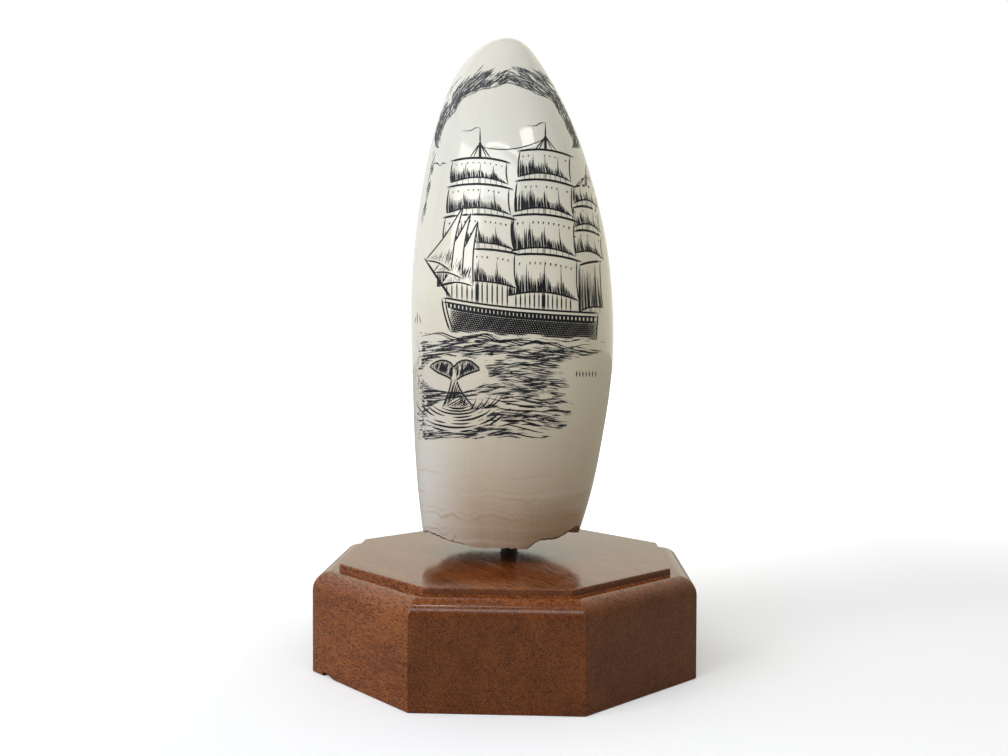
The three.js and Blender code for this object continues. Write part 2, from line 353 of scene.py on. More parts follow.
# ------------------------------------------------------------------- tooth
ROOT_Z = 32.0
TOOTH_L = 143.8
DEPTH_RATIO = 0.82
BELLY_FWD = 2.5
TIP_BACK = 7.0
STATIONS = [
    (0, 21.54, -1.98), (12, 24.11, -0.84), (30, 26.54, 0.42), (50, 28.08, 1.44),
    (68, 28.20, 1.26), (86, 26.68, 0.75), (102, 23.75, -0.12), (118, 19.45, -1.11),
    (130, 14.49, -1.93), (138, 9.51, -1.81),
]
TIP_SHIFT = -0.7
BREAK = [
    (-176, 34.9), (-161, 35.05), (-152, 35.7), (-138, 35.15), (-127, 34.2), (-117, 33.9),
    (-106, 33.0), (-89, 33.1), (-76, 33.0), (-70, 32.5), (-66, 33.2), (-62, 34.55),
    (-57, 34.95), (-45, 34.85), (-33, 36.3), (-24, 37.2), (-17, 36.9), (-9, 35.0),
    (2, 36.4), (14, 36.0), (31, 34.7), (48, 33.6), (60, 32.3), (82, 31.3), (97, 31.8),
    (118, 31.4), (136, 32.2), (152, 34.2), (168, 34.3),
]
WALL_ROOT = 1.7
CAVITY_TOP = 86.0
CAVITY_POWER = 1.25
SOCKET_DEEP = 7.0
SOCKET_R = ROD_R + 0.3


def spline(xs, ys):
    """Natural cubic spline through knots, for arrays."""
    xs, ys = np.asarray(xs, float), np.asarray(ys, float)
    n = len(xs)
    A = np.zeros((n, n))
    r = np.zeros(n)
    A[0, 0] = A[-1, -1] = 1
    for i in range(1, n - 1):
        h0, h1 = xs[i] - xs[i - 1], xs[i + 1] - xs[i]
        A[i, i - 1], A[i, i], A[i, i + 1] = h0, 2 * (h0 + h1), h1
        r[i] = 6 * ((ys[i + 1] - ys[i]) / h1 - (ys[i] - ys[i - 1]) / h0)
    m = np.linalg.solve(A, r)

    def f(x):
        x = np.asarray(x, float)
        i = np.clip(np.searchsorted(xs, x) - 1, 0, n - 2)
        h = xs[i + 1] - xs[i]
        a, b = (xs[i + 1] - x) / h, (x - xs[i]) / h
        return a * ys[i] + b * ys[i + 1] + ((a ** 3 - a) * m[i] + (b ** 3 - b) * m[i + 1]) * h * h / 6

    return f


_h = np.array([s[0] for s in STATIONS], float)
_f = np.array([s[1] for s in STATIONS]) / np.sqrt(1 - _h / TOOTH_L)
_k = _h / TOOTH_L
_slope = (_f[-1] - _f[-2]) / (_k[-1] - _k[-2])
factor_at = spline([*_k, 1], [*_f, _f[-1] + _slope * (1 - _k[-1]) * 0.5])
shift_at = spline([*_k, 1], [*[s[2] for s in STATIONS], TIP_SHIFT])


def half_width(t):
    return factor_at(t) * np.sqrt(np.clip(1 - t, 0, None))


def bow(t):
    return -BELLY_FWD * np.sin(np.pi * t) + TIP_BACK * np.clip(t, 0, None) ** 2.2


def section(z):
    """middle x, middle y, half width and half depth of the tooth at height z"""
    t = (np.asarray(z, float) - ROOT_Z) / TOOTH_L
    a = half_width(t)
    return shift_at(t), bow(t), a, a * DEPTH_RATIO


def outer(angle, z):
    cx, cy, a, b = section(z)
    return np.stack(np.broadcast_arrays(cx + a * np.cos(angle), cy + b * np.sin(angle), z), -1)


def inner(angle, z):
    u = np.clip((np.asarray(z, float) - ROOT_Z) / (CAVITY_TOP - ROOT_Z), 0, 1)
    op = 1 - u ** CAVITY_POWER
    a = SOCKET_R + (half_width(0.0) - WALL_ROOT - SOCKET_R) * op
    b = SOCKET_R + (half_width(0.0) * DEPTH_RATIO - WALL_ROOT - SOCKET_R) * op
    mid = ROD_X + (shift_at(0.0) - ROD_X) * (1 - u)
    return np.stack(np.broadcast_arrays(mid + a * np.cos(angle), b * np.sin(angle), z), -1)


def break_at(angle):
    d = np.degrees(angle)
    xs = np.array([b[0] for b in BREAK] + [BREAK[0][0] + 360], float)
    ys = np.array([b[1] for b in BREAK] + [BREAK[0][1]], float)
    d = np.where(d < xs[0], d + 360, d)
    e = np.interp(d, xs, ys)
    # splintery small teeth along the break
    r = np.random.default_rng(77)
    for k, amp in ((37, 0.10), (61, 0.09), (97, 0.07), (141, 0.05)):
        e = e + amp * np.sin(k * np.asarray(angle) + r.uniform(0, 6.28)) * (0.5 + 0.5 * np.sin(5 * np.asarray(angle) + r.uniform(0, 6.28)))
    return e


def build_tooth():
    around, up, into = 288, 250, 34
    ang = np.linspace(-np.pi, np.pi, around, endpoint=False)
    edge = break_at(ang)
    rings = []
    rings.append(np.column_stack([inner(ang, np.full(around, CAVITY_TOP))[:, :2], np.full(around, CAVITY_TOP + SOCKET_DEEP)]))
    for i in range(into, -1, -1):
        s = (i / into) ** 1.2
        rings.append(inner(ang, edge + (CAVITY_TOP - edge) * s))
    rim_in = rings[-1].copy()
    rim_out = outer(ang, edge)
    # the broken edge is a rough, slightly rounded lip between the two skins
    wob = 0.18 * np.sin(23 * ang) + 0.12 * np.sin(53 * ang + 1.0)
    for s in (0.2, 0.5, 0.8):
        lip = rim_in * (1 - s) + rim_out * s
        lip[:, 2] -= 0.10 * math.sin(math.pi * s) * (1 + wob)
        rings.append(lip)
    for i in range(up):
        s = math.sin((i / up) * math.pi / 2) if i > 0 else 0.0
        zz = edge + (ROOT_Z + TOOTH_L - edge) * s
        rings.append(outer(ang, zz))
    tip = outer(0.0, ROOT_Z + TOOTH_L)
    verts = [np.array([[ROD_X, 0, CAVITY_TOP + SOCKET_DEEP]])] + rings + [tip[None]]
    n = around
    faces = []
    at = lambda r, k: 1 + r * n + (k % n)
    for k in range(n):
        faces.append((0, at(0, k + 1), at(0, k)))
    for r in range(len(rings) - 1):
        for k in range(n):
            faces.append((at(r, k), at(r, k + 1), at(r + 1, k + 1), at(r + 1, k)))
    top = len(rings) - 1
    lastv = 1 + len(rings) * n
    for k in range(n):
        faces.append((at(top, k), at(top, k + 1), lastv))
    ob = mesh_object("tooth_ivory", np.concatenate(verts), faces, IVORY, smooth_angle=50)
    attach(ob, "root")
    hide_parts("tooth")
    return ob


# ---------------------------------------------------------------- engraving
# The picture is laid out on a flat card as a person facing the tooth sees it: u to the right and v up from the ship's
# waterline, about a quarter of a millimetre to the unit. Every line is carried onto the tooth along that person's
# lines of sight, and becomes a shallow ink-filled cut: a thin closed bar with a V below the surface.
CARD = 1005.56
INK_LIFT, INK_DEEP = 0.030, 0.035


def _view_axes():
    cy, sy = math.cos(YAW), math.sin(YAW)
    fwd = np.array([sy * math.cos(PITCH), cy * math.cos(PITCH), math.sin(PITCH)])
    right = np.array([cy, -sy, 0.0])
    up = np.cross(right, fwd)
    c, s = math.cos(ROLL), math.sin(ROLL)
    return fwd, c * right + s * up, -s * right + c * up


FWD, RIGHT, UP = _view_axes()


def surface_f(p):
    cx, cy, a, b = section(np.minimum(p[:, 2], ROOT_Z + TOOTH_L - 0.01))
    return ((p[:, 0] - cx) / a) ** 2 + ((p[:, 1] - cy) / b) ** 2 - 1


def carry(uv):
    """card points to points on the tooth"""
    uv = np.asarray(uv, float)
    d = FWD + ((uv[:, 0] + 4) / CARD)[:, None] * RIGHT + ((uv[:, 1] + 43) / CARD)[:, None] * UP
    d = d / d[:, 1:2]
    lo = np.full(len(uv), -EYE[1] - 45.0)
    # the nearest approach to the tooth's middle, where a line of sight is inside it if it meets it at all
    ts = np.linspace(0, 50, 26)
    f = np.stack([surface_f(EYE + (lo + t)[:, None] * d) for t in ts])
    hit = f < 0
    first = np.where(hit.any(0), hit.argmax(0), f.argmin(0))
    hi = lo + ts[first]
    lo2 = lo + ts[np.maximum(first - 1, 0)]
    for _ in range(26):
        mid = (lo2 + hi) / 2
        inside = surface_f(EYE + mid[:, None] * d) < 0
        hi = np.where(inside, mid, hi)
        lo2 = np.where(inside, lo2, mid)
    return EYE + hi[:, None] * d


def normals_at(p):
    e = 0.02
    out = np.zeros_like(p)
    for k in range(3):
        q = p.copy(); q[:, k] += e
        r = p.copy(); r[:, k] -= e
        out[:, k] = surface_f(q) - surface_f(r)
    return out / np.linalg.norm(out, axis=1, keepdims=True)


def resample(pts, step):
    pts = np.asarray(pts, float)
    seg = np.linalg.norm(np.diff(pts, axis=0), axis=1)
    s = np.concatenate([[0], np.cumsum(seg)])
    n = max(2, int(round(s[-1] / step)) + 1)
    q = np.linspace(0, s[-1], n)
    return np.stack([np.interp(q, s, pts[:, k]) for k in range(pts.shape[1])], 1)


def curve(*ctrl, step=2.0):
    """smooth line through control points (Catmull-Rom)"""
    c = np.asarray(ctrl, float)
    if len(c) == 2:
        return resample(c, step)
    c = np.vstack([2 * c[0] - c[1], c, 2 * c[-1] - c[-2]])
    out = []
    t = np.linspace(0, 1, 9)[:-1, None]
    for i in range(1, len(c) - 2):
        p0, p1, p2, p3 = c[i - 1:i + 3]
        out.append(0.5 * (2 * p1 + (p2 - p0) * t + (2 * p0 - 5 * p1 + 4 * p2 - p3) * t ** 2 + (3 * p1 - p0 - 3 * p2 + p3) * t ** 3))
    out.append(c[-2][None])
    return resample(np.vstack(out), step)


def inside(poly, p):
    poly = np.asarray(poly, float)
    x, y = p[:, 0], p[:, 1]
    c = np.zeros(len(p), bool)
    x0, y0 = poly[-1]
    for x1, y1 in poly:
        with np.errstate(divide="ignore", invalid="ignore"):
            cross = (y1 > y) != (y0 > y)
            c ^= cross & (x < (x0 - x1) * (y - y1) / (y0 - y1 + 1e-12) + x1)
        x0, y0 = x1, y1
    return c


_lat = np.random.default_rng(99).uniform(0, 1, (64, 64))


def vnoise(x, y, sx, sy, seed=0):
    """smooth value noise, 0 to 1"""
    x = np.asarray(x, float) / sx + seed * 7.31
    y = np.asarray(y, float) / sy + seed * 3.77
    i, j = np.floor(x).astype(int), np.floor(y).astype(int)
    fx, fy = x - i, y - j
    fx, fy = fx * fx * (3 - 2 * fx), fy * fy * (3 - 2 * fy)
    g = lambda a, b: _lat[(i + a) % 64, (j + b) % 64]
    return (g(0, 0) * (1 - fx) + g(1, 0) * fx) * (1 - fy) + (g(0, 1) * (1 - fx) + g(1, 1) * fx) * fy


class Plate:
    """One piece of the engraving: a set of strokes that become one mesh."""

    def __init__(self, name, material, seed, weight=1.25):
        self.name, self.material, self.weight = name, material, weight
        self.r = np.random.default_rng(seed)
        self.card = []          # (points, widths in units) on the card
        self.wrap = []          # (angle, height) strokes set out round the tooth

    def stroke(self, pts, w, taper=0.25, wob=0.12, cover=(), keep=None, step=5.0):
        """a line of width w units; taper is the share of the length over which each end thins out"""
        pts = np.asarray(pts, float)
        runs = [pts]
        if cover or keep is not None:
            d = resample(pts, 0.5)
            ok = np.ones(len(d), bool)
            for c in cover:
                ok &= ~inside(c, d)
            if keep is not None:
                ok &= keep(d)
            runs = split(d, ok, 1.2)
        for q in runs:
            q = resample(q, step)
            if wob:
                k = self.r.uniform(-wob, wob, (len(q), 2))
                k[0] *= 0.5
                k[-1] *= 0.5
                q = q + k
            self.card.append((q, self.profile(len(q), w, taper)))

    def profile(self, n, w, taper):
        s = np.linspace(0, 1, n)
        t = taper if isinstance(taper, tuple) else (taper, taper)
        e = np.ones(n)
        if t[0] > 0:
            e = np.minimum(e, 0.22 + 0.78 * np.clip(s / t[0], 0, 1))
        if t[1] > 0:
            e = np.minimum(e, 0.22 + 0.78 * np.clip((1 - s) / t[1], 0, 1))
        if n == 2:      # a tick: thick at the start, thin at the end
            e = np.array([1.0 if t[0] == 0 else 0.35, 1.0 if t[1] == 0 else 0.35])
        return w * e

    def hatch(self, poly, angle, gap, w, jit=0.3, bend=0.0, keep=None, cover=(), trim=0.8, wob=0.15, taper=0.3, broken=0.0):
        """parallel strokes inside a polygon"""
        poly = np.asarray(poly, float)
        a = math.radians(angle)
        R = np.array([[math.cos(a), math.sin(a)], [-math.sin(a), math.cos(a)]])
        q = poly @ R.T
        lo, hi = q.min(0), q.max(0)
        y = lo[1] + gap * 0.5
        while y < hi[1]:
            yy = y + self.r.uniform(-jit, jit) * gap
            x = np.arange(lo[0], hi[0], 0.6)
            if len(x) < 3:
                break
            mid = (lo[0] + hi[0]) / 2
            half = max(1.0, (hi[0] - lo[0]) / 2)
            line = np.column_stack([x, yy + bend * (1 - ((x - mid) / half) ** 2)]) @ R
            ok = inside(poly, line)
            for c in cover:
                ok &= ~inside(c, line)
            if keep is not None:
                ok &= keep(line)
            if broken:
                k = self.r.integers(0, 60)
                ok &= vnoise(line[:, 0] + k * 3.1, line[:, 1] + k, 9, 3, k) > broken
            for run in split(line, ok, 1.0):
                L = len(run)
                c0 = int(self.r.uniform(0, trim) / 0.6)
                c1 = int(self.r.uniform(0, trim) / 0.6)
                if L - c0 - c1 >= 3:
                    run = run[c0:L - c1]
                self.stroke(run, w * self.r.uniform(0.8, 1.2), taper, wob)
            y += gap

    def round_stroke(self, ang, z, w, taper=0.3):
        ang, z = np.asarray(ang, float), np.asarray(z, float)
        self.wrap.append((ang, z, self.profile(len(ang), w, taper)))

    def build(self):
        if not self.card and not self.wrap:
            return None
        P, W, lens = [], [], []
        if self.card:
            allp = carry(np.vstack([c[0] for c in self.card]))
            # a unit of the card where this line of sight meets the tooth
            allw = np.concatenate([c[1] for c in self.card]) * np.linalg.norm(allp - EYE, axis=1) / CARD
            sight = (allp - EYE) / np.linalg.norm(allp - EYE, axis=1, keepdims=True)
            # a stroke ends where the tooth turns away from the card
            met = (np.abs(surface_f(allp)) < 0.004) & (-(sight * normals_at(allp)).sum(1) > 0.17)
            at = 0
            for c in self.card:
                n = len(c[0])
                i = 0
                while i < n:
                    if not met[at + i]:
                        i += 1
                        continue
                    j = i
                    while j < n and met[at + j]:
                        j += 1
                    if j - i >= 2:
                        P.append(allp[at + i:at + j])
                        W.append(allw[at + i:at + j])
                        lens.append(j - i)
                    i = j
                at += n
        if self.wrap:
            allp = np.vstack([outer(a, z) for a, z, _ in self.wrap])
            P.append(allp)
            W.append(np.concatenate([w for _, _, w in self.wrap]) * 0.265)
            lens += [len(w) for _, _, w in self.wrap]
        P, W = np.vstack(P), np.concatenate(W) * self.weight
        N = normals_at(P)
        verts, faces = [], []
        at, base = 0, 0
        for n in lens:
            p, w, nm = P[at:at + n], W[at:at + n], N[at:at + n]
            at += n
            seg = np.linalg.norm(np.diff(p, axis=0), axis=1)
            if seg.sum() < 0.12 or seg.min() < 1e-4:
                continue
            tg = np.gradient(p, axis=0)
            tg /= np.linalg.norm(tg, axis=1, keepdims=True)
            b = np.cross(nm, tg)
            b /= np.linalg.norm(b, axis=1, keepdims=True)
            h = (w / 2)[:, None]
            left = p + b * h + nm * INK_LIFT
            right = p - b * h + nm * INK_LIFT
            low = p - nm * INK_DEEP
            v = np.empty((3 * n, 3))
            v[0::3], v[1::3], v[2::3] = left, right, low
            verts.append(v)
            for i in range(n - 1):
                a0 = base + 3 * i
                a1 = a0 + 3
                faces.append((a0, a0 + 1, a1 + 1, a1))          # top
                faces.append((a0 + 1, a0 + 2, a1 + 2, a1 + 1))  # right flank
                faces.append((a0 + 2, a0, a1, a1 + 2))          # left flank
            faces.append((base, base + 2, base + 1))
            e = base + 3 * (n - 1)
            faces.append((e, e + 1, e + 2))
            base += 3 * n
        ob = mesh_object(self.name, np.vstack(verts), faces, self.material, smooth=False)
        me = ob.data
        # top and flanks share sharp edges, but each top runs smoothly with the tooth
        me.polygons.foreach_set("use_smooth", [True] * len(me.polygons))
        me.set_sharp_from_angle(angle=math.radians(25))
        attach(ob, "root")
        tris = sum(len(f) - 2 for f in faces)
        print("engraving", self.name, "strokes", len(lens), "triangles", tris)
        return ob


def split(pts, ok, least):
    runs, start = [], None
    for i, v in enumerate(ok):
        if v and start is None:
            start = i
        if start is not None and (not v or i == len(ok) - 1):
            end = i if not v else i + 1
            if end - start >= 2:
                q = pts[start:end]
                if np.linalg.norm(np.diff(q, axis=0), axis=1).sum() >= least:
                    runs.append(q)
            start = None
    return runs


INK = plain_material("ink_black", (0.006, 0.007, 0.010), 0.45, spec=0.3)
INK_SOFT = plain_material("ink_soft", (0.085, 0.092, 0.098), 0.45, spec=0.3)
# dark brown for the painted shade along the broken edge and for two short marks near it
EDGE_SHADE_AND_CRACKS = plain_material("root_edge_shade_and_cracks", (0.085, 0.048, 0.026), 0.5, spec=0.3)
INK_MID = plain_material("ink_mid", (0.035, 0.040, 0.046), 0.45, spec=0.3)


# ---- sails
class Sail:
    """A square sail hung from a yard: a patch with bowed edges, p across and q down."""

    def __init__(self, tl, tr, br, bl, top=0.0, foot=0.0, left=0.0, right=0.0):
        self.c = [np.array(k, float) for k in (tl, tr, br, bl)]
        self.top_b, self.foot_b, self.left_b, self.right_b = top, foot, left, right

    def edge(self, a, b, bow_, s):
        s = np.asarray(s, float)[..., None]
        d = b - a
        nrm = np.array([-d[1], d[0]]) / (np.linalg.norm(d) + 1e-9)
        return a * (1 - s) + b * s + nrm * bow_ * 4 * s * (1 - s)

    def at(self, p, q):
        tl, tr, br, bl = self.c
        p, q = np.broadcast_arrays(np.asarray(p, float), np.asarray(q, float))
        T = self.edge(tl, tr, self.top_b, p)
        F = self.edge(bl, br, self.foot_b, p)
        L = self.edge(tl, bl, self.left_b, q)
        R = self.edge(tr, br, self.right_b, q)
        P, Q = p[..., None], q[..., None]
        flat = (tl * (1 - P) + tr * P) * (1 - Q) + (bl * (1 - P) + br * P) * Q
        return T * (1 - Q) + F * Q + L * (1 - P) + R * P - flat

    def outline(self, n=14):
        s = np.linspace(0, 1, n)
        return np.vstack([self.at(s, 0 * s), self.at(1 + 0 * s, s), self.at(s[::-1], 1 + 0 * s), self.at(0 * s, s[::-1])])


def draw_sail(pl, sl, shade, seams=(0.3, 0.55, 0.8), reefs=((0.24, 0.08, 0.92, 9),), gap=1.3, w=1.0, cover=(),
              yard=1.7, over=(0.07, 0.07), edges=(True, True), foot=True, left_dark=0.0, right_dark=0.0):
    s = np.linspace(0, 1, 26)
    if yard:
        t = np.linspace(-over[0], 1 + over[1], 26)
        y0 = sl.at(np.clip(t, 0, 1), np.zeros_like(t))
        lead = sl.at([0.0, 0.06], [0.0, 0.0])
        tail = sl.at([0.94, 1.0], [0.0, 0.0])
        y0[t < 0] = lead[0] + (lead[0] - lead[1]) / 0.06 * (-t[t < 0])[:, None]
        y0[t > 1] = tail[1] + (tail[1] - tail[0]) / 0.06 * (t[t > 1] - 1)[:, None]
        y0 = y0 + np.array([0, 0.7])
        pl.stroke(y0, yard, 0.12, 0.08, cover)
        pl.stroke(y0 + np.array([0, -0.9]), 0.6, 0.1, 0.1, cover)
    if edges[0]:
        pl.stroke(sl.at(0 * s, s), 1.1, 0.08, 0.12, cover)
    if edges[1]:
        pl.stroke(sl.at(1 + 0 * s, s), 1.1, 0.08, 0.12, cover)
    if foot:
        pl.stroke(sl.at(s, 1 + 0 * s), 1.35, 0.08, 0.12, cover)
    for p in seams:
        q0 = pl.r.uniform(0.12, 0.4)
        q = np.linspace(q0, 1, 12)
        lean = pl.r.uniform(-0.012, 0.012)
        pl.stroke(sl.at(p + lean * np.sin(q * 5), q), 0.85, (0.5, 0.05), 0.12, cover)
    for q, p0, p1, n in reefs:
        for p in np.linspace(p0, p1, n):
            if pl.r.uniform() < 0.12:
                continue
            a = sl.at([p, p - 0.004], [q, q + 0.07])
            pl.stroke(a, 1.35 * pl.r.uniform(0.8, 1.2), (0.0, 1.0), 0.0, cover, step=3)
    # shading: upright strokes that rise from the foot, higher near the seams and in the folds
    width = np.linalg.norm(sl.at(1.0, 0.6) - sl.at(0.0, 0.6))
    n = int(width / gap)
    ps, hs = [k[0] for k in shade], [k[1] for k in shade]
    for i in range(n):
        p = (i + pl.r.uniform(0.2, 0.8)) / n
        h = np.interp(p, ps, hs)
        if h < 0.02:
            continue
        h *= pl.r.uniform(0.72, 1.12)
        q0 = max(0.02, 1 - h)
        q = np.linspace(q0, 1.0, 10)
        drift = pl.r.uniform(-0.012, 0.012)
        pl.stroke(sl.at(np.clip(p + drift * (q - q0), 0, 1), q), w * pl.r.uniform(0.75, 1.2), (0.55, 0.0), 0.10, cover)
        if h > 0.3 and pl.r.uniform() < 0.6:      # a second, shorter stroke thickens the tone low down
            q0 = 1 - h * pl.r.uniform(0.4, 0.75)
            q = np.linspace(q0, 1.0, 8)
            pl.stroke(sl.at(np.clip(p + 0.4 / n, 0, 1) + 0 * q, q), w * 0.8, (0.5, 0.0), 0.1, cover)


# ---- the picture, laid out in columns and rows of the card
def K(*pts):
    p = np.asarray(pts, float)
    return np.column_stack([p[:, 0] - 508, 335 - p[:, 1]])


def C(*pts, step=3.0):
    return curve(*K(*pts), step=step)


def S(tl, tr, br, bl, **bows):
    q = K(tl, tr, br, bl)
    return Sail(q[0], q[1], q[2], q[3], **bows)


def mast(pl, x0, y0, x1, y1, w, cover=()):
    """a spar drawn as close upright strokes"""
    n = max(1, int(round(w / 0.9)))
    for i in range(n):
        o = (i + 0.5) / n * w - w / 2
        pl.stroke(K((x0 + o, y0), (x1 + o, y1)), 1.25, 0.05, 0.12, cover)


def rig(pl, lines, w=0.85, cover=()):
    for ln in lines:
        pl.stroke(C(*ln) if len(ln) > 2 else K(*ln), w, 0.08, 0.10, cover)


def spaced(pl, a0, a1, b0, b1, n, w, lean=0.0, cover=(), gaps=()):
    """n cords from the line a0-a1 down to the line b0-b1"""
    a0, a1, b0, b1 = (np.array(k, float) for k in (a0, a1, b0, b1))
    for i in range(n):
        s = (i + pl.r.uniform(0.2, 0.8)) / n
        if any(lo < s < hi for lo, hi in gaps):
            continue
        t = min(1.0, max(0.0, s + lean + pl.r.uniform(-0.03, 0.03)))
        pl.stroke(K(a0 * (1 - s) + a1 * s, b0 * (1 - t) + b1 * t), w * pl.r.uniform(0.8, 1.25), 0.05, 0.1, cover)


def engrave():
    """a generic picture of its kind in the picture's broad areas: a three-masted ship, sea, a whale's tail and a bank of cloud,
    all set out from named sizes"""
    fore = Plate("engraved_foremast", INK, 11)
    main = Plate("engraved_mainmast", INK, 12)
    mizz = Plate("engraved_mizzenmast", INK, 13)
    hull = Plate("engraved_hull", INK, 14)
    sea = Plate("engraved_sea", INK, 15, 1.0)
    soft = Plate("engraved_sea_faint", INK_SOFT, 16, 0.9)
    tail = Plate("engraved_whale", INK, 17)
    sky = Plate("engraved_sky", INK_SOFT, 18, 0.85)
    storm = Plate("engraved_sky_dark", INK_MID, 21, 0.85)
    bits = Plate("engraved_marks", INK, 19)

    # ------------------------------------------------ hull
    BOW, STERN, DECK0, DECK1, LINE0, LINE1 = 446.0, 598.0, 298.0, 315.0, 331.0, 340.0

    def deck(x):
        s = np.clip((np.asarray(x, float) - BOW) / (STERN - BOW), 0, 1)
        return DECK0 + (DECK1 - DECK0) * s + 4.0 * np.sin(math.pi * s) * (1 - s) - 2.0 * s ** 6

    def line(x):
        s = np.clip((np.asarray(x, float) - BOW) / (STERN - BOW), 0, 1)
        return LINE0 + (LINE1 - LINE0) * s + 1.3 * np.sin(s * 19) + 0.9 * np.sin(s * 41)

    def row(f, lo, hi, off=0.0, n=40):
        x = np.linspace(lo, hi, n)
        return K(*zip(x, f(x) + off))

    stem = lambda y: BOW - 4 + 8 * np.clip((y - DECK0) / 33, 0, 1) ** 1.6
    ys = np.linspace(DECK0, LINE0, 12)
    hull.stroke(K(*zip(stem(ys), ys)), 1.6, 0.05, 0.05)
    hull.stroke(K(*zip(stem(ys) + 3.4, ys)), 1.3, 0.05, 0.05)
    for off, w in ((0, 1.5), (4.2, 1.5)):
        hull.stroke(row(deck, BOW - 3, STERN, off), w, 0.03, 0.06)
    hull.stroke(row(deck, BOW + 2, STERN - 1, 9.0), 1.2, 0.03, 0.06)
    x = BOW + 3
    while x < STERN - 2:      # an even row of square ports in a dark strake
        hull.stroke(K((x, deck(x) + 4.4), (x, deck(x) + 9)), 2.4, 0.0, 0.0, step=3)
        x += 3.9
    hull.stroke(K((STERN, deck(STERN)), (STERN - 2, line(STERN))), 1.6, 0.05)
    xs = np.linspace(BOW + 4, STERN - 1, 40)
    body = np.vstack([K(*zip(xs, deck(xs) + 9)), K(*zip(xs[::-1], line(xs[::-1])))])
    for k in range(20):
        ln = row(deck, BOW, STERN, 10.2 + 1.98 * k, 140)
        for run in split(ln, inside(body, ln), 1.5):
            hull.stroke(run, 1.16 * hull.r.uniform(0.94, 1.06), 0.06, 0.04)
    hull.hatch(body, 47, 1.98, 1.16, jit=0.04, bend=1.0, taper=0.08, trim=0.5, wob=0.05)

    # ------------------------------------------------ square sails, mast by mast
    def shade_of(r, deep):
        ps = np.linspace(0, 1, 21)
        h = 0.13 + deep * (1 - ps) ** 1.3
        for c in (0.0, 0.27, 0.52, 0.77):
            h = h + 0.24 * np.exp(-((ps - c) / 0.055) ** 2)
        h = h * r.uniform(0.8, 1.2, len(ps)) * np.clip((1 - ps) / 0.12, 0.1, 1)
        return list(zip(ps, h))

    def rank(pl, foot_x, head_x, foot_half, head_half, head, foot, n, drop, deep, cover=()):
        """n sails between two heights, each a little wider than the one above; returns them from the top"""
        out = []
        total = sum(1 + 0.16 * k for k in range(n))
        y = head
        for k in range(n):
            h = (foot - head) * (1 + 0.16 * k) / total
            s0, s1 = (y - head) / (foot - head), (y + h - head) / (foot - head)
            half = head_half + (foot_half - head_half) * s0
            wide = head_half + (foot_half - head_half) * s1
            xm, xn = head_x + (foot_x - head_x) * s0, head_x + (foot_x - head_x) * s1
            low = y + h - 4.5
            sl = S((xm - half, y - drop / 2), (xm + half, y + drop / 2), (xn + wide * 0.97, low + drop / 2), (xn - wide * 0.97, low - drop / 2),
                   top=3.6, foot=6.4, left=-0.8, right=-1.4)
            draw_sail(pl, sl, shade_of(pl.r, deep), seams=(0.27, 0.52, 0.77), reefs=((0.2, 0.08, 0.92, int(wide / 3)),), over=(0.04, 0.07), cover=cover)
            out.append(sl)
            y += h
        return out

    def cords(pl, upper, lower, n, cover=()):
        """short ropes in the hollow between a foot and the yard below, round the mast"""
        for s in np.linspace(0.12, 0.88, n):
            a = upper.at(s, 1.0)
            b = lower(s)
            for o in ((-1.1, 0.0, 1.1) if abs(s - 0.5) < 1e-6 else (0.0,)):
                pl.stroke(np.vstack([a, b]) + [o, 0], 1.15 * pl.r.uniform(0.9, 1.1), 0.03, 0.05, cover)

    # bowsprit and jibs: three-cornered sails from the first mast to the spar, the outermost in front
    heel, point = np.array([450.0, 298.0]), np.array([424.0, 258.0])
    for o in (0.0, 1.6):
        hull.stroke(K(heel + [o, 0], point + [o * 0.3, 0]), 1.3, (0.02, 0.2), 0.05)
    jibs = []
    for k in range(3):
        head = np.array([464.0 + 7 * k, 205.0 + 8 * k])
        tack = point + (heel - point) * (0.06 + 0.30 * k)
        clew = np.array([451.0 + 11 * k, 271.0 + 7.5 * k])
        edge = [curve(*K(head, (head + tack) / 2 + [1.0, 2], tack), step=2), curve(*K(tack, (tack + clew) / 2 + [0, -3.0], clew), step=2),
                curve(*K(clew, (clew + head) / 2 + [-2.2, 0], head), step=2)]
        for e in edge:
            hull.stroke(e, 1.25, 0.03, 0.05, jibs)
        fold = K(tack + [3, -2], (tack + clew) / 2 + [2, -4], clew + [-1, -2], (clew * 2 + head) / 3 + [-3, 0], (tack + head) / 2 + [9, 12])
        hull.hatch(fold, 74, 1.3, 1.1, taper=0.45, trim=9.0, cover=jibs)
        jibs = jibs + [np.vstack(edge)]

    F = rank(fore, 477, 480, 41, 27, 162, 292, 4, 1.5, 0.42, jibs)
    fo = [s.outline() for s in F]
    M = rank(main, 543, 545, 37, 25, 154, 303, 4, 5.0, 0.46, fo)
    mo = [s.outline() for s in M]
    Z = rank(mizz, 588, 585, 16, 11, 190, 262, 3, 5.0, 0.60, fo + mo)
    zo = [s.outline() for s in Z]
    for pl, sails, cov, n in ((fore, F, jibs, 9), (main, M, fo, 9), (mizz, Z, fo + mo, 5)):
        for a, b in zip(sails, sails[1:]):
            cords(pl, a, lambda s, b=b: b.at(s, 0.0), n, cov)
    for pl, sl, cov in ((fore, F[-1], jibs), (main, M[-1], fo)):
        cords(pl, sl, lambda s, sl=sl: np.array([sl.at(s, 1.0)[0], 335 - deck(sl.at(s, 1.0)[0] + 508)]), 13, cov)
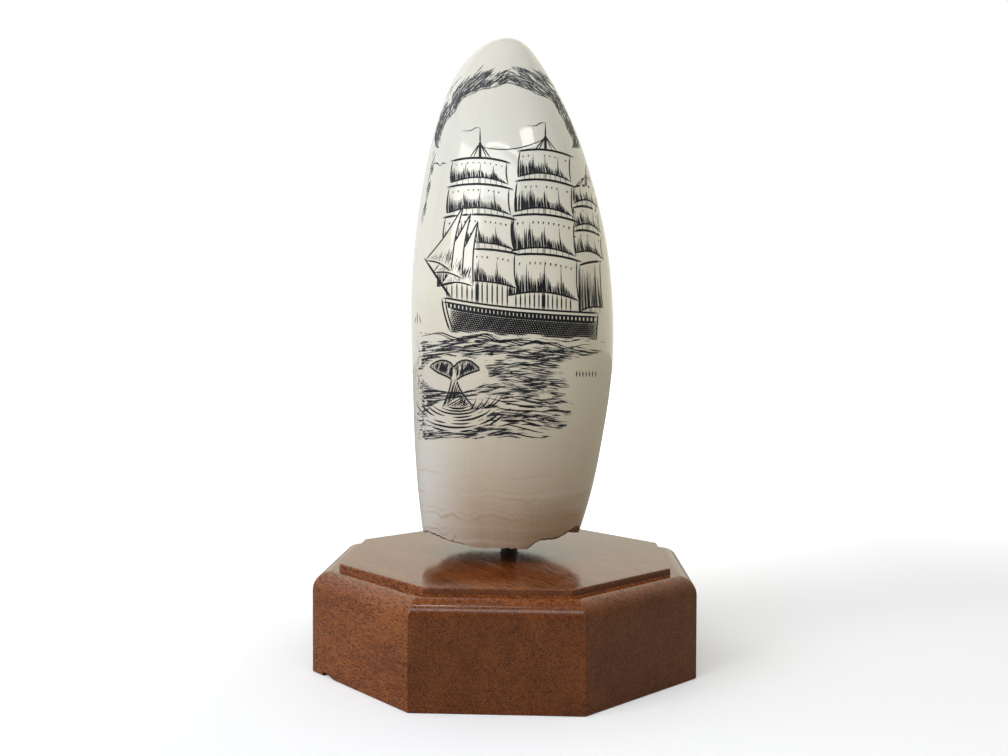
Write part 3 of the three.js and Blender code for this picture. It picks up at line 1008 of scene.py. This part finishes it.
    # poles, pennants and their stays
    for pl, sl, h, cov in ((fore, F[0], 30, ()), (main, M[0], 27, fo), (mizz, Z[0], 22, mo)):
        p = sl.at(0.5, 0.0) + np.array([0, 0.6])
        tip = p + np.array([0, h])
        mid = p + np.array([0, h * 0.5])
        for o in (-0.6, 0.6):
            pl.stroke(np.vstack([p + [o, 0], mid + [o, 0]]), 1.2, 0.0, 0.0)
        pl.stroke(np.vstack([mid, tip]), 1.2, (0, 0.6), 0.0)
        for dx in (-11, -7, 7, 11):
            pl.stroke(np.vstack([mid, p + [dx, -0.4 - abs(dx) * 0.06]]), 0.9, 0.1, 0.05, cov)
        if h > 25:
            q = np.linspace(0, 1, 8)
            pl.stroke(np.column_stack([tip[0] - 18 * q, tip[1] - 4 * q + 1.2 * np.sin(q * 8)]), 0.9, (0.1, 0.6), 0.05)
    a, b = F[0].at(0.5, 0.0) + np.array([0, 12]), M[0].at(0.5, 0.0) + np.array([0, 12])
    q = np.linspace(0, 1, 12)
    fore.stroke(np.column_stack([a[0] + (b[0] - a[0]) * q, a[1] + (b[1] - a[1]) * q - 26 * q * (1 - q)]), 0.9, 0.2, 0.05)
    # a fore-and-aft sail on the last mast
    sp = S((579, 266), (600, 262), (603, 308), (579, 312), top=1.0, foot=3.0, right=-1.0)
    draw_sail(mizz, sp, [(0, 1.0), (0.3, 0.92), (0.5, 0.75), (0.8, 0.9), (1, 0.5)], seams=(), reefs=(), over=(0.0, 0.05), cover=mo)
    cords(mizz, sp, lambda s: np.array([sp.at(s, 1.0)[0], 335 - deck(sp.at(s, 1.0)[0] + 508)]), 5, mo)

    # ------------------------------------------------ the whale's tail: two leaf-shaped flukes on a stock that widens into the sea
    NOTCH = np.array([454.0, 367.0])
    for side, span, droop in ((-1, 25.0, -1.0), (1, 27.0, 2.5)):
        w = lambda fx, y: NOTCH + [side * span * fx, y]
        leaf = np.vstack([curve(*K(w(0, 0), w(0.2, -5.5), w(0.58, -6.5), w(1.0, droop)), step=1.5), curve(*K(w(1.0, droop), w(0.66, 5.5), w(0.32, 9.0), w(0.1, 12.5)), step=1.5)])
        tail.stroke(leaf, 1.4, 0.0, 0.05)
        tail.hatch(leaf, 74, 1.15, 1.3, taper=0.08, trim=0.2, jit=0.15, keep=lambda p: vnoise(p[:, 0], p[:, 1], 1.2, 6, 2) > 0.12)
    q = np.linspace(0, 1, 16)
    lx, rx, sy = NOTCH[0] - 2.6 - 9 * q ** 1.6, NOTCH[0] + 2.8 + 17 * q ** 1.6, NOTCH[1] + 12 + 28 * q
    tail.stroke(K(*zip(lx, sy)), 1.3, 0.05, 0.05)
    tail.stroke(K(*zip(rx, sy)), 1.3, 0.05, 0.05)
    stock = np.vstack([K(*zip(lx, sy)), K(*zip(rx[::-1], sy[::-1]))])
    tail.hatch(stock, 74, 1.7, 1.05, taper=0.35, keep=lambda p: vnoise(p[:, 0], p[:, 1], 5, 7, 3) > 0.30)
    tail.hatch(stock, 30, 2.2, 0.9, taper=0.35, keep=lambda p: p[:, 1] < 335 - 391)
    for k in range(9):      # rings of water round the stock
        rr = 12 + 4.6 * k
        th = np.linspace(0.15 * math.pi, (0.86 + 0.02 * k) * math.pi, 18)
        pts = np.column_stack([NOTCH[0] + 4 + rr * 1.05 * np.cos(th), NOTCH[1] + 36 + rr * 0.62 * np.sin(th) * (0.8 + 0.03 * k) - 3])
        tail.stroke(K(*pts), 1.5 * tail.r.uniform(0.7, 1.2), 0.3, 0.15, (stock,), keep=lambda p: vnoise(p[:, 0], p[:, 1], 9, 4, 5) > 0.28)
    for k in range(5):      # plumes of spray
        a = np.array([467.0 + 4.5 * k, 411.0 - 0.6 * k])
        tip = np.array([476.0 + 7.0 * k, 398.0 - 1.2 * k + 2.0 * (k % 2)])
        tail.stroke(C(a, (a + tip) / 2 + [2, 2], tip), 1.3, (0.1, 0.6), 0.05)

    # ------------------------------------------------ sea
    def oval(cx, cy, a, b, tilt=0.0, n=30):
        th = np.linspace(0, 2 * math.pi, n, endpoint=False)
        return K(*zip(cx + a * np.cos(th), cy + b * np.sin(th) + tilt * a * np.cos(th)))

    xs = np.linspace(415, 606, 60)
    top = line(xs) + 1.5

    def shore(y):
        k = np.clip((np.asarray(y, float) - 350) / 14, 0, 1)
        return 605 - 39 * k * k * (3 - 2 * k) + 8 * k * np.sin((y - 378) / 16)

    right = [(float(shore(y)), y) for y in np.linspace(346, 438, 30)]
    left = [(416 + 2.5 * math.sin(y / 9), y) for y in np.linspace(440, 336, 20)]
    region = K(*(list(zip(xs, top)) + right + left))
    halo = oval(455, 374, 33, 18)
    foam = K(*(list(zip(xs, line(xs) + 3)) + list(zip(xs[::-1], line(xs[::-1]) + 7.5 + 2.5 * np.sin(xs[::-1] / 13)))))
    wake = oval(522, 406, 42, 5.5, 0.22)
    pool = oval(512, 424, 34, 5.0, 0.05)
    ringed = oval(457, 415, 30, 16)
    covers = (halo, foam, wake, pool, ringed)

    def tone(p):
        """how thick the strokes lie: heavier on the left, and in long drifts"""
        v = vnoise(p[:, 0], p[:, 1], 26, 5, 3) * 0.6 + vnoise(p[:, 0], p[:, 1], 9, 2.2, 6) * 0.4
        y, x = 335 - p[:, 1], p[:, 0] + 508
        edge = 0.26 * np.clip((y - 425) / 16, 0, 1) + 0.20 * np.clip((x - shore(y) + 16) / 16, 0, 1)
        return v + np.clip((-60 - p[:, 0]) / 30, 0, 1) * 0.16 - edge

    def waves(pl, gap, w, least, lo, hi, cov):
        y, r = lo, pl.r
        while y < hi:
            x = 414 + r.uniform(-2, 8)
            while x < 606:
                run = r.uniform(7, 30)
                xs_ = np.linspace(x, x + run, max(3, int(run / 2.2)))
                yy = y + r.uniform(-0.5, 0.5) + (-0.10 if x < 500 else 0.02) * (xs_ - x) + 0.8 * np.sin(xs_ * 0.11 + y * 0.23) + 0.5 * np.sin(xs_ * 0.31 + y)
                ln = resample(K(*zip(xs_, yy)), 0.6)
                ok = inside(region, ln) & (tone(ln) > least)
                for c in cov:
                    ok &= ~inside(c, ln)
                for q_ in split(ln, ok, 2.2):
                    pl.stroke(q_, w * r.uniform(0.7, 1.35), 0.4, 0.1)
                x += run + r.uniform(0.4, 3.5)
            y += gap

    waves(sea, 1.9, 1.15, 0.41, 331, 440, covers)
    waves(soft, 1.7, 1.05, 0.33, 331, 440, covers)
    waves(sea, 4.6, 2.0, 0.46, 333, 438, covers[:2] + covers[4:])
    for k in range(7):      # long crests under the hull and in the wake
        x = np.linspace(418 + 14 * k, 500 + 15 * k, 14)
        sea.stroke(K(*zip(x, line(x) + 4 + 2.2 * np.sin(x / 8 + k) + 0.6 * k)), 1.3, 0.3, 0.1)
    for k in range(6):
        x = np.linspace(484 + 5 * k, 556 - 3 * k, 12)
        sea.stroke(K(*zip(x, 399 + 6.0 * k + 0.14 * (x - 484) + 1.4 * np.sin(x / 10 + k))), 1.3, 0.3, 0.1)

    # ------------------------------------------------ sky: a bank of cloud that arches over the crown
    def band(s, t):
        s = np.clip(np.asarray(s, float), 0, 1)
        th = math.pi * (1.0 - s)
        lobes = 1 + 0.022 * np.sin(th * 9 + 0.6) + 0.010 * np.sin(th * 17)
        rx = 65 * lobes * (1 - t) + 77 * t
        ry = 62 * lobes * (1 - t) + 88 * t
        return K(*zip(506 + rx * np.cos(th), 148 - ry * np.sin(th)))

    def thick(s, t):
        v = vnoise(s * 100, t * 10, 9, 1.7, 2) * 0.55 + vnoise(s * 100, t * 10, 3.5, 0.8, 7) * 0.45
        return v + 0.16 * np.exp(-((t - 0.30) / 0.3) ** 2) - 0.34 * np.clip((t - 0.6) / 0.4, 0, 1)

    for k in range(1500):
        s0, t0, ln = sky.r.uniform(-0.02, 1.0), sky.r.uniform(0.01, 0.99), sky.r.uniform(0.015, 0.06)
        q = np.linspace(0, 1, 5)
        s = s0 + ln * q
        t = t0 + (0.16 if s0 < 0.5 else -0.10) * (q - 0.5) * sky.r.uniform(0.4, 1.4)
        v = thick(np.array([s0 + ln / 2]), np.array([t0]))[0]
        v -= 0.22 * max(0.0, 1 - min(s0, 1 - s0) / 0.07)
        if v < 0.41 or (t < 0.005).any() or (t > 1.0).any():
            continue
        (storm if v > 0.60 and sky.r.uniform() < 0.6 else sky).stroke(band(s, t), sky.r.uniform(0.9, 1.6), 0.5, 0.05, step=3.5)
    for s0 in np.arange(0.02, 0.94, 0.021):      # its inner edge stands out of the haze
        s = np.linspace(s0, s0 + sky.r.uniform(0.025, 0.05), 7)
        sky.stroke(band(s, np.full(7, 0.02 + sky.r.uniform(0, 0.04))), sky.r.uniform(0.8, 1.3), 0.45, 0.05, step=3.5)
    for k in range(24):      # wisps that trail down the left side
        y0 = 150 + k * 2.9
        for j in range(1 + (k % 7 > 3) * 3):
            o = sky.r.uniform(-1.2, 1.2)
            x0 = 434.5 - 0.175 * (y0 - 150) + o
            sky.stroke(K((x0 + 1.3, y0), (x0, y0 + 3), (x0 - 0.9, y0 + 7.5)), sky.r.uniform(0.8, 1.3), 0.5, 0.06)

    # ------------------------------------------------ a bird, a far sail, and a row of plain upright ticks in the low right corner
    for side in (-1, 1):
        bits.stroke(C((440, 166), (440 + side * 3.0, 162.5), (440 + side * 6.5, 163.5)), 1.3, (0.1, 0.6), 0.03)
    for dx, dy, w in ((0, 12, 1.2), (3.6, 9, 1.0), (-2.6, 8, 0.9)):
        bits.stroke(K((417.5 + dx, 324), (417.5 + dx * 0.5, 324 - dy)), w, (0.1, 0.4), 0.03)
    for k in range(7):
        bits.stroke(K((576.5 + 3.2 * k, 371.0), (576.5 + 3.2 * k, 377.0)), 1.3, 0.2, 0.0, step=3)

    # a dark line just above the broken edge on its front: painted shade of the edge's thickness; and two short dark
    # marks near the edge, the first a crack
    rim = Plate("root_edge_painted_shade_and_cracks", EDGE_SHADE_AND_CRACKS, 31, 1.0)
    for a0, a1, w in ((-168, -150, 1.0), (-151, -127, 1.4), (-128, -112, 0.9), (-70, -60, 1.1), (-61, -38, 1.5), (-40, -22, 1.7), (-24, -6, 1.5), (-8, 20, 1.0)):
        a = np.radians(np.linspace(a0, a1, 24))
        rim.round_stroke(a, break_at(a) + 0.20 + 0.06 * np.sin(a * 60), w, 0.2)
    rim.stroke(C((451.8, 541.4), (453.2, 539.2), (455.6, 535.4)), 1.3, (0.1, 0.6), 0.03)
    rim.stroke(C((424.6, 534.4), (425.8, 532.2)), 1.5, 0.3, 0.03)
    for p in (fore, main, mizz, hull, sea, soft, tail, sky, storm, bits, rim):
        p.build()


engrave()


# ------------------------------------------------------------------- plinth
RISER_H, LEDGE_W, ROUND_R = 1.7, 1.9, 4.7
SIDES = 8


def octagon(inset, z, corner=0.6, per_flat=14, per_corner=5):
    ap = FLATS / 2 - inset
    pts = []
    half = math.pi / SIDES
    for k in range(SIDES):
        a0 = -math.pi / 2 + k * 2 * half          # middle of this flat
        n0 = np.array([math.cos(a0), math.sin(a0)])
        t0 = np.array([-n0[1], n0[0]])
        c = min(corner, ap * 0.2)
        run = ap * math.tan(half) - c * math.tan(half)
        for i in range(per_flat):
            s = -run + 2 * run * i / (per_flat - 1)
            pts.append(n0 * ap + t0 * s)
        # rounded corner to the next flat
        centre = n0 * (ap - c) + t0 * run
        for i in range(1, per_corner):
            a = a0 + 2 * half * i / per_corner
            pts.append(centre + c * np.array([math.cos(a), math.sin(a)]))
    p = np.array(pts)
    return np.column_stack([p, np.full(len(p), z)])


def build_base():
    ledge_z = PLINTH_H - RISER_H
    panel = ROUND_R + LEDGE_W
    prof = []
    r = 0.35
    for i in range(4):
        a = i / 3 * math.pi / 2
        prof.append((r * (1 - math.sin(a)), r * (1 - math.cos(a))))
    for z in (4, 8, 12, 16, 20):
        prof.append((0, z))
    for i in range(15):
        a = i / 14 * math.pi / 2
        prof.append((ROUND_R * (1 - math.cos(a)), ledge_z - ROUND_R + ROUND_R * math.sin(a)))
    prof += [(ROUND_R + 0.5, ledge_z), (panel - 0.25, ledge_z), (panel - 0.07, ledge_z + 0.05), (panel, ledge_z + 0.25),
             (panel, PLINTH_H - 0.42)]
    for i in range(1, 4):
        a = i / 3 * math.pi / 2
        prof.append((panel + 0.42 * (1 - math.cos(a)), PLINTH_H - 0.42 + 0.42 * math.sin(a)))
    prof += [(panel + 2.5, PLINTH_H), (panel + 8, PLINTH_H), (panel + 18, PLINTH_H), (panel + 30, PLINTH_H)]
    rings = [octagon(6, 0.0), octagon(1.5, 0.0)] + [octagon(i, z) for i, z in prof]
    n = len(rings[0])
    # the drilled socket for the rod
    ang = np.arctan2(rings[-1][:, 1], rings[-1][:, 0])
    deep = PLINTH_H - (ROD_LO[2] - 0.3)
    ring = lambda rad, z: np.column_stack([ROD_X + rad * np.cos(ang), rad * np.sin(ang), np.full(n, z)])
    rings += [ring(SOCKET_R + 0.25, PLINTH_H), ring(SOCKET_R + 0.05, PLINTH_H - 0.08), ring(SOCKET_R, PLINTH_H - 0.3), ring(SOCKET_R, PLINTH_H - deep)]
    verts = [np.array([[0, 0, 0]])] + rings + [np.array([[ROD_X, 0, PLINTH_H - deep]])]
    faces = []
    at = lambda r_, k: 1 + r_ * n + (k % n)
    for k in range(n):
        faces.append((0, at(0, k + 1), at(0, k)))
    for q in range(len(rings) - 1):
        for k in range(n):
            faces.append((at(q, k), at(q, k + 1), at(q + 1, k + 1), at(q + 1, k)))
    top = len(rings) - 1
    lastv = 1 + len(rings) * n
    for k in range(n):
        faces.append((at(top, k), at(top, k + 1), lastv))
    ob = mesh_object("plinth_mahogany", np.concatenate(verts), faces, WOOD)

    # chip in the lower edge near the left corner
    left = octagon(0, 0, corner=0.001)
    half = math.pi / SIDES
    ra = FLATS / 2 / math.cos(half)
    a_left = math.radians(-157.5)
    a_right = math.radians(-112.5)
    L = np.array([ra * math.cos(a_left), ra * math.sin(a_left), 0])
    R = np.array([ra * math.cos(a_right), ra * math.sin(a_right), 0])
    al = (R - L) / np.linalg.norm(R - L)
    out = np.cross(al, [0, 0, 1])
    start, length, high, bite = 5.0, 6.8, 1.4, 1.5
    prof2 = [(0, -1, 1.0), (0, high * 0.8, 0.9), (0.12, high, 1.1), (0.35, high * 0.82, 1.0), (0.6, high * 0.5, 0.8), (0.82, high * 0.24, 0.5), (1.0, 0, 0.2), (1.0, -1, 0.2)]
    cv, cf = [], []
    for u, z, d in prof2:
        p = L + al * (start + u * length) + np.array([0, 0, z])
        cv.append(p + out * 2.0)
        cv.append(p - out * bite * d + np.array([0, 0, -0.35 if z > 0.2 else 0]))
    m = len(prof2)
    for i in range(m):
        j = (i + 1) % m
        cf.append((2 * i, 2 * j, 2 * j + 1, 2 * i + 1))
    cf.append(tuple(2 * i for i in range(m - 1, -1, -1)))
    cf.append(tuple(2 * i + 1 for i in range(m)))
    cut = mesh_object("chip_cutter", cv, cf, WOOD, smooth=False)
    import bmesh
    bm = bmesh.new()
    bm.from_mesh(cut.data)
    bmesh.ops.triangulate(bm, faces=bm.faces)
    bmesh.ops.recalc_face_normals(bm, faces=bm.faces)
    bm.to_mesh(cut.data)
    bm.free()
    mod = ob.modifiers.new("chip", "BOOLEAN")
    mod.operation = "DIFFERENCE"
    mod.solver = "EXACT"
    mod.object = cut
    dg = bpy.context.evaluated_depsgraph_get()
    me = bpy.data.meshes.new_from_object(ob.evaluated_get(dg))
    ob.modifiers.clear()
    ob.data = me
    bpy.data.objects.remove(cut)
    me.polygons.foreach_set("use_smooth", [True] * len(me.polygons))
    me.set_sharp_from_angle(angle=math.radians(38))
    ob.data.materials.clear()
    ob.data.materials.append(WOOD)
    wn = ob.modifiers.new("wn", "WEIGHTED_NORMAL")
    wn.keep_sharp = True
    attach(ob, "root")
    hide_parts("base")
    return ob


def build_rod():
    n = 48
    ang = np.linspace(0, 2 * math.pi, n, endpoint=False)
    z0, z1 = float(ROD_LO[2]), float(ROD_HI[2])
    c = 0.35
    prof = [(ROD_R - c, z0), (ROD_R, z0 + c)] + [(ROD_R, z0 + c + (z1 - z0 - 2 * c) * i / 20) for i in range(1, 20)] + [(ROD_R, z1 - c), (ROD_R - c, z1)]
    rings = [np.column_stack([ROD_X + r * np.cos(ang), r * np.sin(ang), np.full(n, z)]) for r, z in prof]
    verts = [np.array([[ROD_X, 0, z0]])] + rings + [np.array([[ROD_X, 0, z1]])]
    at = lambda r_, k: 1 + r_ * n + (k % n)
    faces = [(0, at(0, k + 1), at(0, k)) for k in range(n)]
    for q in range(len(rings) - 1):
        faces += [(at(q, k), at(q, k + 1), at(q + 1, k + 1), at(q + 1, k)) for k in range(n)]
    lastv = 1 + len(rings) * n
    faces += [(at(len(rings) - 1, k), at(len(rings) - 1, k + 1), lastv) for k in range(n)]
    ob = mesh_object("rod_black", np.concatenate(verts), faces, ROD, smooth_angle=40)
    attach(ob, "root")
    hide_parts("rod")


build_tooth()
build_base()
build_rod()


# ------------------------------------------------------- floor, world, light
FLOOR_GLOW, FLOOR_DIM = 0.235, 0.0


def build_floor():
    n = 96
    R = 4000
    a = np.linspace(0, 2 * math.pi, n, endpoint=False)
    v = [(0, 0, -0.02)] + [(R * math.cos(t), R * math.sin(t), -0.02) for t in a]
    f = [(0, 1 + k, 1 + (k + 1) % n) for k in range(n)]
    m, nd = new_material("floor_pale")
    co = nd.add("ShaderNodeTexCoord").outputs["Object"]
    dist = nd.add("ShaderNodeVectorMath", {0: co}, operation="LENGTH").outputs["Value"]
    # painted light: the floor glows for the camera alone, brightening it into the white backdrop, and the glow stays
    # low near the plinth and to its right, where the cast shadow falls
    cx = nd.add("ShaderNodeSeparateXYZ", {0: co}).outputs[0]
    cy = nd.add("ShaderNodeSeparateXYZ", {0: co}).outputs[1]
    glow = nd.math("MAXIMUM", nd.linear(dist, 0.35, 0.62, FLOOR_GLOW, 1.0),
                   nd.math("MULTIPLY", nd.linear(cy, 0.02, 0.26, FLOOR_GLOW, 1.0), nd.linear(cx, 0.16, -0.02, 0.55, 1.0)))
    glow = nd.math("MAXIMUM", glow, nd.linear(cx, -0.07, -0.24, FLOOR_GLOW, 0.75))
    lp = nd.add("ShaderNodeLightPath")
    k = nd.math("ADD", FLOOR_DIM, nd.math("MULTIPLY", lp.outputs["Is Camera Ray"], 1.0 - FLOOR_DIM))
    tint = nd.mix(lp.outputs["Is Camera Ray"], (0.52, 0.50, 0.45), (0.83, 0.835, 0.87))
    b = nd.add("ShaderNodeBsdfPrincipled", {"Base Color": tint, "Roughness": 0.8, "Specular IOR Level": 0.1,
                                            "Emission Color": (1, 1, 1, 1), "Emission Strength": nd.math("MULTIPLY", glow, k)})
    finish_material(nd, b)
    ob = mesh_object("floor", v, f, m, smooth=False)


def build_world():
    w = bpy.data.worlds.new("studio")
    scene.world = w
    w.use_nodes = True
    n = Nodes(w.node_tree)
    d = n.add("ShaderNodeTexCoord").outputs["Generated"]
    s = n.add("ShaderNodeSeparateXYZ", {0: d})
    x, y, z = s.outputs
    # a pale room: bright and cool on the left, warm behind, dimmer in front and on the right, with a plain ceiling
    col = n.mix(n.smooth(x, -0.25, -0.80), (0.25, 0.25, 0.25), (0.50, 0.54, 0.58))
    col = n.mix(n.smooth(x, 0.25, 0.85), col, (0.40, 0.385, 0.32))
    col = n.mix(n.smooth(y, 0.02, 0.45), col, (0.92, 0.90, 0.76))
    cool = n.math("MULTIPLY", n.smooth(y, 0.02, 0.45), n.smooth(x, -0.2, -0.8))
    col = n.mix(cool, col, (0.90, 0.95, 1.0))
    col = n.mix(n.smooth(z, 0.735, 0.750), col, (0.40, 0.40, 0.375))
    room = n.add("ShaderNodeBackground", {"Color": col, "Strength": 1.0})
    plain = n.add("ShaderNodeBackground", {"Color": (1, 1, 1, 1), "Strength": 1.0})
    lp = n.add("ShaderNodeLightPath")
    mixs = n.add("ShaderNodeMixShader")
    n.t.links.new(lp.outputs["Is Camera Ray"], mixs.inputs[0])
    n.t.links.new(room.outputs[0], mixs.inputs[1])
    n.t.links.new(plain.outputs[0], mixs.inputs[2])
    out = n.add("ShaderNodeOutputWorld")
    n.t.links.new(mixs.outputs[0], out.inputs[0])


def area(name, at_mm, look_mm, size, energy, colour=(1, 1, 1), spread=180):
    d = bpy.data.lights.new(name, "AREA")
    d.shape = "RECTANGLE"
    d.size, d.size_y = size[0] * MM, size[1] * MM
    d.energy = energy
    d.color = colour
    d.spread = math.radians(spread)
    o = bpy.data.objects.new(name, d)
    o.visible_camera = False
    scene.collection.objects.link(o)
    p, q = Vector(at_mm) * MM, Vector(look_mm) * MM
    o.location = p
    o.rotation_mode = "QUATERNION"
    o.rotation_quaternion = (q - p).to_track_quat("-Z", "Y")
    return o


build_floor()
build_world()
def card(name, az, el, reach, size, radiance, colour):
    """a light that the tooth's polish shows as a patch: az to the right of the camera's side, el above level, seen from the
    shoulder of the tooth"""
    p = np.array([2.0, -15.5, 141.0])
    a, e = math.radians(az), math.radians(el)
    at = p + reach * np.array([math.sin(a) * math.cos(e), -math.cos(a) * math.cos(e), math.sin(e)])
    area(name, at, p, size, radiance * math.pi * size[0] * size[1] * 1e-6, colour)


area("key", (-620, -560, 520), (0, 0, 80), (520, 520), 4.0)
card("window", -12, 39.5, 600, (430, 120), 4.5, (0.86, 0.93, 1.0))
card("ceiling_edge", -6, 47.2, 600, (370, 13), 9.0, (1.0, 1.0, 0.96))
card("small_window", 35, 50.0, 600, (150, 62), 9.0, (1.0, 0.99, 0.93))

arris = np.array([-18.0, -46.0, 28.0])
area("arris_light", arris + 560 * np.array([-0.13, -0.22, 0.967]), arris, (300, 34), 30.0 * 0.0135 * 0.3 * 0.034, spread=14)
